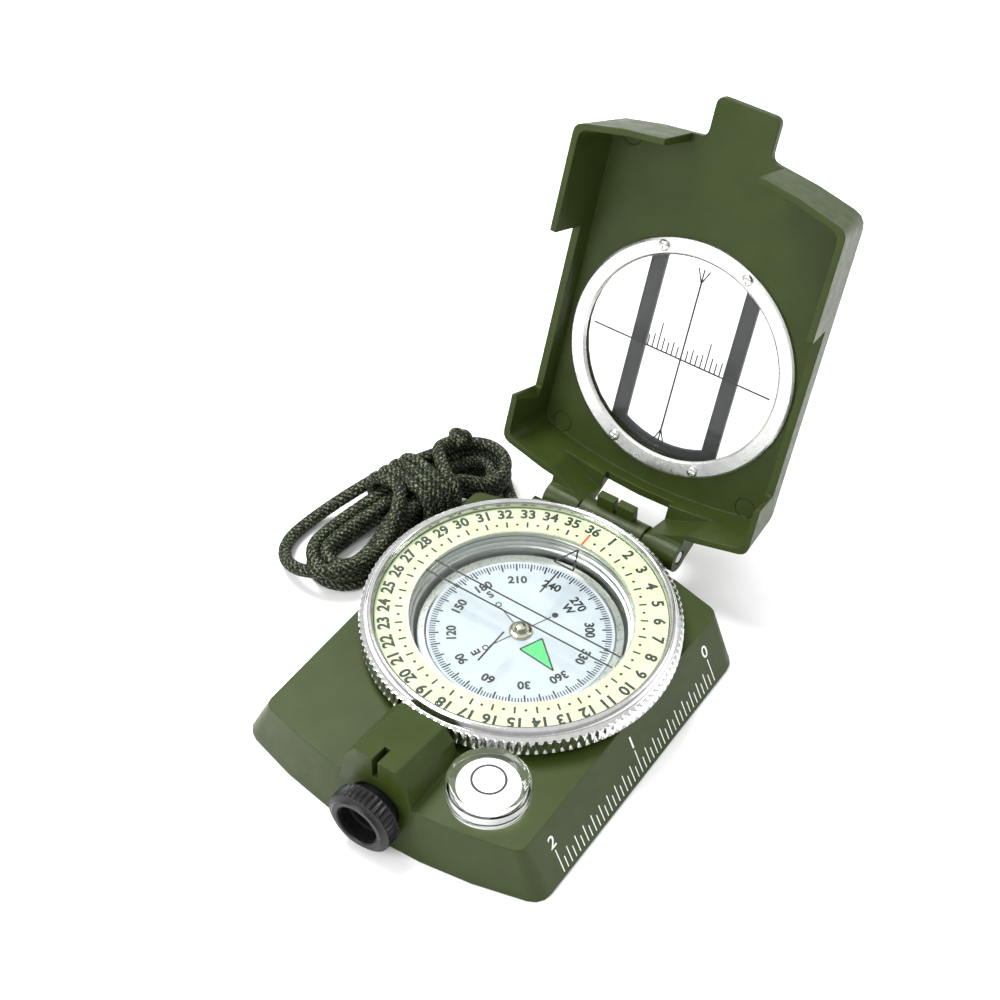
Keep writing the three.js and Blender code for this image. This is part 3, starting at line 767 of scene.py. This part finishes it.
def castings():
    for node in ("base_housing", "lid_shell"):
        dress(node, OLIVE, 0.28)
    dress("base_cover", OLIVE, 0.2)
    dress("sight_strip", STRIP_GREY, 0.12)
    dress("hinge_pin", STEEL, 0.15)
    dress("capsule_window", PLATE_GLASS)
    dress("eye_lens", PLATE_GLASS)
    dress("prism", PRISM_GLASS)
    dress("capsule_gasket", RUBBER)
    dress("bezel_slip_ring", RUBBER)
    dress("bezel_snap_wire", STEEL)
    dress("pivot_post", STEEL)
    dress("card_magnet", MAGNET)
    dress("eyepiece_barrel", BLACK)
    dress("lens_cell", BLACK)


# ---- printed marks ----
def on_dial(angle, radius, z):
    """A place on the dial, at a clockwise angle from +Y, with its own +Y outwards."""
    turn = Matrix.Rotation(-radians(angle), 4, "Z")
    return Matrix.Translation((0, 0, z)) @ turn @ Matrix.Translation((0, radius, 0))


def bar(width, length, thickness=INK):
    """A thin printed bar along Y, centred, on z = 0."""
    return block(-width / 2, width / 2, -length / 2, length / 2, 0, thickness)


def disc(radius, sides=32):
    around = [tau * i / sides for i in range(sides)]
    return prism([(radius * cos(a), radius * sin(a)) for a in around], 0, INK)


def hoop(inner, outer, z=0.0, sides=96, thickness=INK):
    return lathe([(inner, z), (outer, z), (outer, z + thickness), (inner, z + thickness)], sides)


def line_between(a, b, width):
    """A printed line on z = 0 from one point to another."""
    ahead = Vector(b) - Vector(a)
    turn = Matrix.Rotation(atan2(ahead.y, ahead.x) - pi / 2, 4, "Z")
    mid = (Vector(a) + Vector(b)) / 2
    return moved(bar(width, ahead.length), Matrix.Translation((mid.x, mid.y, 0)) @ turn)


def glyphs(text, height, weight=0.035):
    """Printed characters as thin plates, centred on the origin."""
    curve = bpy.data.curves.new("text", "FONT")
    curve.body = text
    curve.extrude = 0.5
    curve.offset = weight
    curve.resolution_u = 4
    holder = bpy.data.objects.new("text", curve)
    mesh = bpy.data.meshes.new_from_object(holder)
    bm = bmesh.new()
    bm.from_mesh(mesh)
    bpy.data.objects.remove(holder)
    bpy.data.curves.remove(curve)
    bpy.data.meshes.remove(mesh)
    xs, ys = [v.co.x for v in bm.verts], [v.co.y for v in bm.verts]
    scale = height / (max(ys) - min(ys))
    centre = Vector(((max(xs) + min(xs)) / 2, (max(ys) + min(ys)) / 2, -0.5))
    bm.transform(Matrix.Diagonal((scale, scale, INK, 1)) @ Matrix.Translation(-centre))
    return bm


def printed(name, marks, material, body):
    return piece(name, merged(marks), material, body, flat_first=False)


# ---- dial ----
KNURLS = 120
KNURL_DEPTH = 0.5
RING_SIZE = (20.3, 26.5)
CARD_RADIUS = 18.8


def knurl(angle, r, z):
    """Upright teeth on the bezel's outer band."""
    if r < 28.6 or not 12.7 < z < 15.6:
        return 0
    wave = (cos(KNURLS * angle) + 1) / 2
    return -KNURL_DEPTH * wave**1.6


def bezel():
    outline = [
        (26.55, 12.5), (28.75, BEZEL_LOW), (29.2, 12.65), (29.3, 12.95), (29.3, 14.1), (29.3, 15.2),
        (29.25, 15.5), (28.95, 15.75), (28.5, 15.85), (28.25, 16.0), (28.15, 16.25), (27.75, 16.95),
        (27.55, 17.2), (27.2, BEZEL_HIGH), (26.85, 17.2), (26.72, 17.0), (26.62, 16.0), (26.55, 14.0),
    ]
    ring = lathe(outline, KNURLS * 8, DIAL.x, DIAL.y, knurl)
    piece("bezel_knurled_ring", ring, SILVER, "bezel", ["bezel_ring"], sharp=50)


def number_ring():
    inner, outer = RING_SIZE
    low = span("number_ring")[0].z
    outline = rounded([(inner, low), (outer, low), (outer, RING_TOP), (inner, RING_TOP)], 0.12)
    ring = lathe(outline, 256, DIAL.x, DIAL.y)
    piece("number_ring_plate", ring, LUMINOUS, "bezel", ["number_ring"])
    black, red = [], []
    centre = Matrix.Translation((DIAL.x, DIAL.y, 0)) @ Matrix.Rotation(radians(-RING_TURN), 4, "Z")
    for n in range(1, 37):
        black.append(moved(glyphs(str(n), 2.3), centre @ on_dial(10 * n, 24.85, RING_TOP)))
        if n != 36:
            black.append(moved(bar(0.36, 1.4), centre @ on_dial(10 * n, 22.1, RING_TOP)))
        black.append(moved(disc(0.27), centre @ on_dial(10 * n + 5, 22.1, RING_TOP)))
    red.append(moved(bar(0.42, 3.1), centre @ on_dial(0, 22.1, RING_TOP)))
    edge = lathe([(20.3, RING_TOP), (20.55, RING_TOP), (20.55, RING_TOP + INK), (20.3, RING_TOP + INK)],
                 256, DIAL.x, DIAL.y)
    printed("ring_numbers", black, BLACK_INK, "bezel")
    printed("ring_index", red, RED_INK, "bezel")
    piece("ring_edge_band", edge, PALE_METAL, "bezel")


def bezel_glass():
    outline = rounded([(0, GLASS_LOW), (26.5, GLASS_LOW), (26.5, GLASS_HIGH), (0, GLASS_HIGH)], 0.25)
    plate = lathe(outline, 256, DIAL.x, DIAL.y)
    piece("bezel_glass_plate", plate, PLATE_GLASS, "bezel", ["bezel_glass"])
    below = Matrix.Translation((DIAL.x, DIAL.y, GLASS_LOW - INK - 0.02))
    marks = [line_between((-20.1, side), (20.1, side), 0.34) for side in (-1.45, 1.45)]
    apex, left, right = (0, 18.9), (-2.1, 13.9), (2.1, 13.9)
    marks += [line_between(a, b, 0.34) for a, b in ((apex, left), (left, right), (right, apex))]
    marks.append(line_between((0, 12.2), (0, 6.0), 0.34))
    marks.append(line_between((0, -5.6), (0, -13.7), 0.34))
    for mark in marks:
        mark.transform(below)
    printed("glass_lines", marks, BLACK_INK, "bezel")


def capsule():
    low, high = span("capsule_cup")
    outline = [
        (0, low.z), (22.9, low.z), (23, low.z + 0.2), (23, high.z), (20.9, high.z), (20.75, high.z - 0.15),
        (20.5, high.z - 0.2), (20.4, high.z - 0.9), (20.0, high.z - 1.0), (19.9, high.z - 1.9),
        (19.5, high.z - 2.0), (19.4, 7.5), (19.2, 4.5), (18.9, 4.25), (0, 4.2),
    ]
    cup = lathe(outline, 256, DIAL.x, DIAL.y)
    piece("capsule_stepped_wall", cup, CUP_METAL, "base", ["capsule_cup"], sharp=25)


def card():
    low = span("compass_card")[0].z
    outline = [
        (0, low), (CARD_RADIUS, low), (CARD_RADIUS, CARD_TOP - 0.05), (CARD_RADIUS - 0.1, CARD_TOP),
        (0, CARD_TOP),
    ]
    plate = lathe(outline, 256, DIAL.x, DIAL.y)
    piece("card_disc", plate, CARD_WHITE, "card", ["compass_card"])
    rim = [(17.15, CARD_TOP), (18.7, CARD_TOP), (18.65, CARD_TOP + 0.28), (17.5, CARD_TOP + 0.28),
           (17.3, CARD_TOP + 0.12)]
    piece("card_rim", lathe(rim, 256, DIAL.x, DIAL.y), PALE_METAL, "card", sharp=25)

    centre = Matrix.Translation((DIAL.x, DIAL.y, 0))
    black = []
    for degree in range(0, 360, 2):
        long = degree % 10 == 0
        length = 1.75 if long else 1.1
        place = on_dial(CARD_NORTH + degree, 16.6 - length / 2, CARD_TOP)
        black.append(moved(bar(0.3 if long else 0.2, length), centre @ place))
    for value in range(30, 361, 30):
        black.append(moved(glyphs(str(value), 1.85), centre @ on_dial(CARD_NORTH + value, 12.6, CARD_TOP)))
    for letter, value, radius in (("E", 90, 9.6), ("S", 180, 10.4), ("W", 270, 10.4)):
        black.append(moved(glyphs(letter, 1.7), centre @ on_dial(CARD_NORTH + value, radius, CARD_TOP)))
        spoke = line_between((0, 2.1), (0, 6.6), 0.2)
        black.append(moved(spoke, centre @ on_dial(CARD_NORTH + value, 0, CARD_TOP)))
        spot = centre @ on_dial(CARD_NORTH + value, 7.5, CARD_TOP)
        black.append(moved(disc(0.6), spot) if letter == "W" else moved(hoop(0.38, 0.62, 0, 32), spot))
    arrow = [(0, 10.8), (-2.4, 3.5), (2.4, 3.5)]
    outline = [line_between(a, b, 0.28) for a, b in zip(arrow, arrow[1:] + arrow[:1])]
    north = centre @ on_dial(CARD_NORTH, 0, CARD_TOP)
    black += [moved(stroke, north @ Matrix.Translation((0, 0, INK))) for stroke in outline]
    printed("card_marks", black, BLACK_INK, "card")
    printed("card_north_arrow", [moved(prism(list(reversed(arrow)), 0, INK), north)], GREEN_INK,
            "card")

    dome = [(0, CARD_TOP), (2.15, CARD_TOP), (2.2, CARD_TOP + 0.3), (2.0, CARD_TOP + 0.55),
            (1.5, CARD_TOP + 0.7), (1.25, CARD_TOP + 1.1), (0.9, CAP_TOP - 0.12), (0.45, CAP_TOP),
            (0, CAP_TOP)]
    cap = lathe(rounded(dome, 0.12), 64, DIAL.x, DIAL.y)
    piece("jewel_cap_dome", cap, BRASS, "card", ["jewel_cap"], sharp=60)


# ---- bubble level ----
def level():
    low, high = span("level_body")
    outline = [(0, DISC_TOP + 0.06), (5.7, DISC_TOP + 0.06), (5.75, low.z), (7.25, low.z),
               (7.25, high.z - 0.55),
               (6.75, high.z - 0.05), (6.5, high.z), (0, high.z)]
    shell = lathe(rounded(outline, 0.1), 128, LEVEL.x, LEVEL.y)
    piece("level_clear_body", shell, ACRYLIC, "base", ["level_body"], sharp=25)
    disc_low = span("level_disc")[0].z
    plate = rounded([(0, disc_low), (5.5, disc_low), (5.5, DISC_TOP), (0, DISC_TOP)], 0.12)
    piece("level_white_disc", lathe(plate, 96, LEVEL.x, LEVEL.y), LEVEL_WHITE, "base",
          ["level_disc"])
    circle = moved(hoop(2.7, 3.15, 0, 96), Matrix.Translation((LEVEL.x, LEVEL.y, high.z)))
    printed("level_circle", [circle], BLACK_INK, "base")
    bubble = lathe([(0, 0), (0.9, 0.08), (1.35, 0.3), (1.3, 0.55), (0.8, 0.78), (0, 0.85)], 48)
    at = Matrix.Translation((LEVEL.x - 2.4, LEVEL.y + 2.6, high.z - 0.95))
    piece("level_bubble", moved(bubble, at), PLATE_GLASS, "base", sharp=60)


# ---- eyepiece ----
RIBS = 36


def eyepiece():
    low, high = span("eyepiece_ring")
    length = high.y - low.y

    def rib(angle, r, z):
        if r < 6.0 or not 0.35 < z < length - 0.75:
            return 0
        return -0.38 * (0.5 - 0.5 * cos(RIBS * angle)) ** 0.8

    outline = [
        (4.1, 0), (6.1, 0), (6.35, 0.25), (6.4, 0.5), (6.4, length / 2), (6.4, length - 0.9),
        (6.3, length - 0.7),
        (5.7, length - 0.55), (5.35, length - 0.3), (5.1, length), (4.35, length), (4.1, length - 0.25),
        (4.05, length - 2.4), (4.05, 0.3),
    ]
    ring = along_y(lathe(outline, RIBS * 8, 0, 0, rib), EYE.x, high.y, EYE.z)
    piece("eyepiece_ribbed_ring", ring, BLACK, "eyepiece", ["eyepiece_ring"], sharp=40)


# ---- screws ----
def screw_head(radius, height):
    """A domed head with a cross recess, standing on z = 0."""
    dome = [(0, 0), (radius, 0), (radius, height * 0.4), (radius * 0.8, height * 0.85), (0, height)]
    head = lathe(rounded(dome, 0.12), 40)
    arms = [block(-radius * 0.62, radius * 0.62, -0.14, 0.14, height * 0.35, height + 1),
            block(-0.14, 0.14, -radius * 0.62, radius * 0.62, height * 0.35, height + 1)]
    return cut(head, *arms)


def screws():
    down = Matrix.Rotation(pi, 4, "X")
    for i, place in enumerate(SCREW_PLACES, 1):
        low, high = span(f"cover_screw_{i}")
        seat = Matrix.Translation((place.x, place.y, low.z + 0.72))
        head = moved(screw_head((high.x - low.x) / 2, 0.7), seat @ down)
        piece(f"cover_screw_head_{i}", head, STEEL, "base", [f"cover_screw_{i}"])
    for i in range(1, 5):
        low, high = shut_span(f"window_screw_{i}")
        at = Matrix.Translation(((low.x + high.x) / 2, (low.y + high.y) / 2, WINDOW_FACE))
        head = moved(screw_head((high.x - low.x) / 2, WINDOW_FACE - low.z), LID_REST @ at @ down)
        piece(f"window_screw_head_{i}", head, STEEL, "lid", [f"window_screw_{i}"])


# ---- lid: window ring, glass and reticle ----
def shut_span(node):
    """The corners of a lid node once the lid is shut."""
    back = LID_REST.inverted()
    spots = [back @ (v.co / MM) for v in frame["nodes"][node].data.vertices]
    return (
        Vector([min(p[k] for p in spots) for k in range(3)]),
        Vector([max(p[k] for p in spots) for k in range(3)]),
    )


WINDOW_FACE = shut_span("window_ring")[0].z


def window():
    low, high = shut_span("window_ring")
    outer = (high.x - low.x) / 2
    outline = [
        (20.35, high.z), (20.05, low.z + 0.5), (20.1, low.z + 0.28), (20.5, low.z), (outer - 0.5, low.z),
        (outer - 0.1, low.z + 0.22), (outer, low.z + 0.5), (outer, high.z),
    ]
    ring = moved(lathe(outline, 256, 0, WINDOW_Y), LID_REST)
    piece("window_bright_ring", ring, PALE_METAL, "lid", ["window_ring"], sharp=25)

    glass_low, glass_high = shut_span("sight_glass")
    radius = (glass_high.x - glass_low.x) / 2
    low_z, high_z = glass_low.z, glass_high.z
    outline = rounded([(0, low_z), (radius, low_z), (radius, high_z), (0, high_z)], 0.15)
    plate = moved(lathe(outline, 192, 0, WINDOW_Y), LID_REST)
    piece("sight_glass_plate", plate, PLATE_GLASS, "lid", ["sight_glass"])
    reticle(glass_low.z)


def reticle(face):
    """The hairline, its forked ends and the scale, printed on the glass. y is measured from the
    hinge, towards the tip."""
    def at(x, reach):
        return x, HINGE.y - reach

    marks = [line_between(at(-19, 32.5), at(19, 32.5), 0.36), line_between(at(0, 16.7), at(0, 48.9), 0.38)]
    for i in range(-10, 11):
        long = i in (-5, 5)
        height = 5.5 if long else (2.9 if i % 2 == 0 else 2.3)
        if i:
            marks.append(line_between(at(i * 1.03, 32.5), at(i * 1.03, 32.5 + height), 0.3))
    for start, end in ((48.2, 51), (17.4, 14.6)):
        marks.append(line_between(at(0, start), at(0, end), 0.3))
        for side in (-1, 1):
            marks.append(line_between(at(0, start), at(1.2 * side, end), 0.3))
    place = LID_REST @ Matrix.Translation((0, 0, face - INK))
    for mark in marks:
        mark.transform(place)
    printed("window_reticle", marks, BLACK_INK, "lid")


def ejector_marks():
    """The faint round marks that the mould's pins left on the lid's floor."""
    marks = []
    for x in (-1, 1):
        for y in (-30.5, 29.5):
            ring = lathe([(1.85, 0), (2.1, 0), (2.05, -0.06), (1.9, -0.06)], 48, 20.5 * x, y)
            marks.append(moved(ring, LID_REST @ Matrix.Translation((0, 0, LID_FLOOR_Z))))
    piece("lid_pin_marks", merged(marks), OLIVE, "lid", flat_first=False)


# ---- ruler on the right-hand slope ----
RULER_ZERO = INCH + 0.02


def ruler():
    foot, top = Vector((BASE_FOOT[0], 0, BASE_LIP)), Vector((BASE_TOP[0], 0, BASE_HEIGHT))
    up = (top - foot).normalized()
    along = Vector((0, 1, 0))
    out = along.cross(up)
    face = Matrix((along, up, out)).transposed().to_4x4()
    face.translation = foot
    rise = up.z
    marks = []
    for i in range(41):
        long = i % 20 == 0
        length = 5.0 if long else (3.5 if i % 2 == 0 else 2.4)
        y = RULER_ZERO - i * INCH / 20
        start = 0.5 / rise
        marks.append(moved(line_between((y, start), (y, start + length), 0.2), face))
    for inch in range(3):
        digit = moved(glyphs(str(inch), 2.5, 0.005), Matrix.Translation((RULER_ZERO - inch * INCH, 7.4, 0)))
        marks.append(moved(digit, face))
    printed("ruler_marks", marks, WHITE_INK, "base")


camera()
studio()
lanyard()
castings()
bezel()
number_ring()
bezel_glass()
capsule()
card()
level()
eyepiece()
screws()
window()
ejector_marks()
ruler()
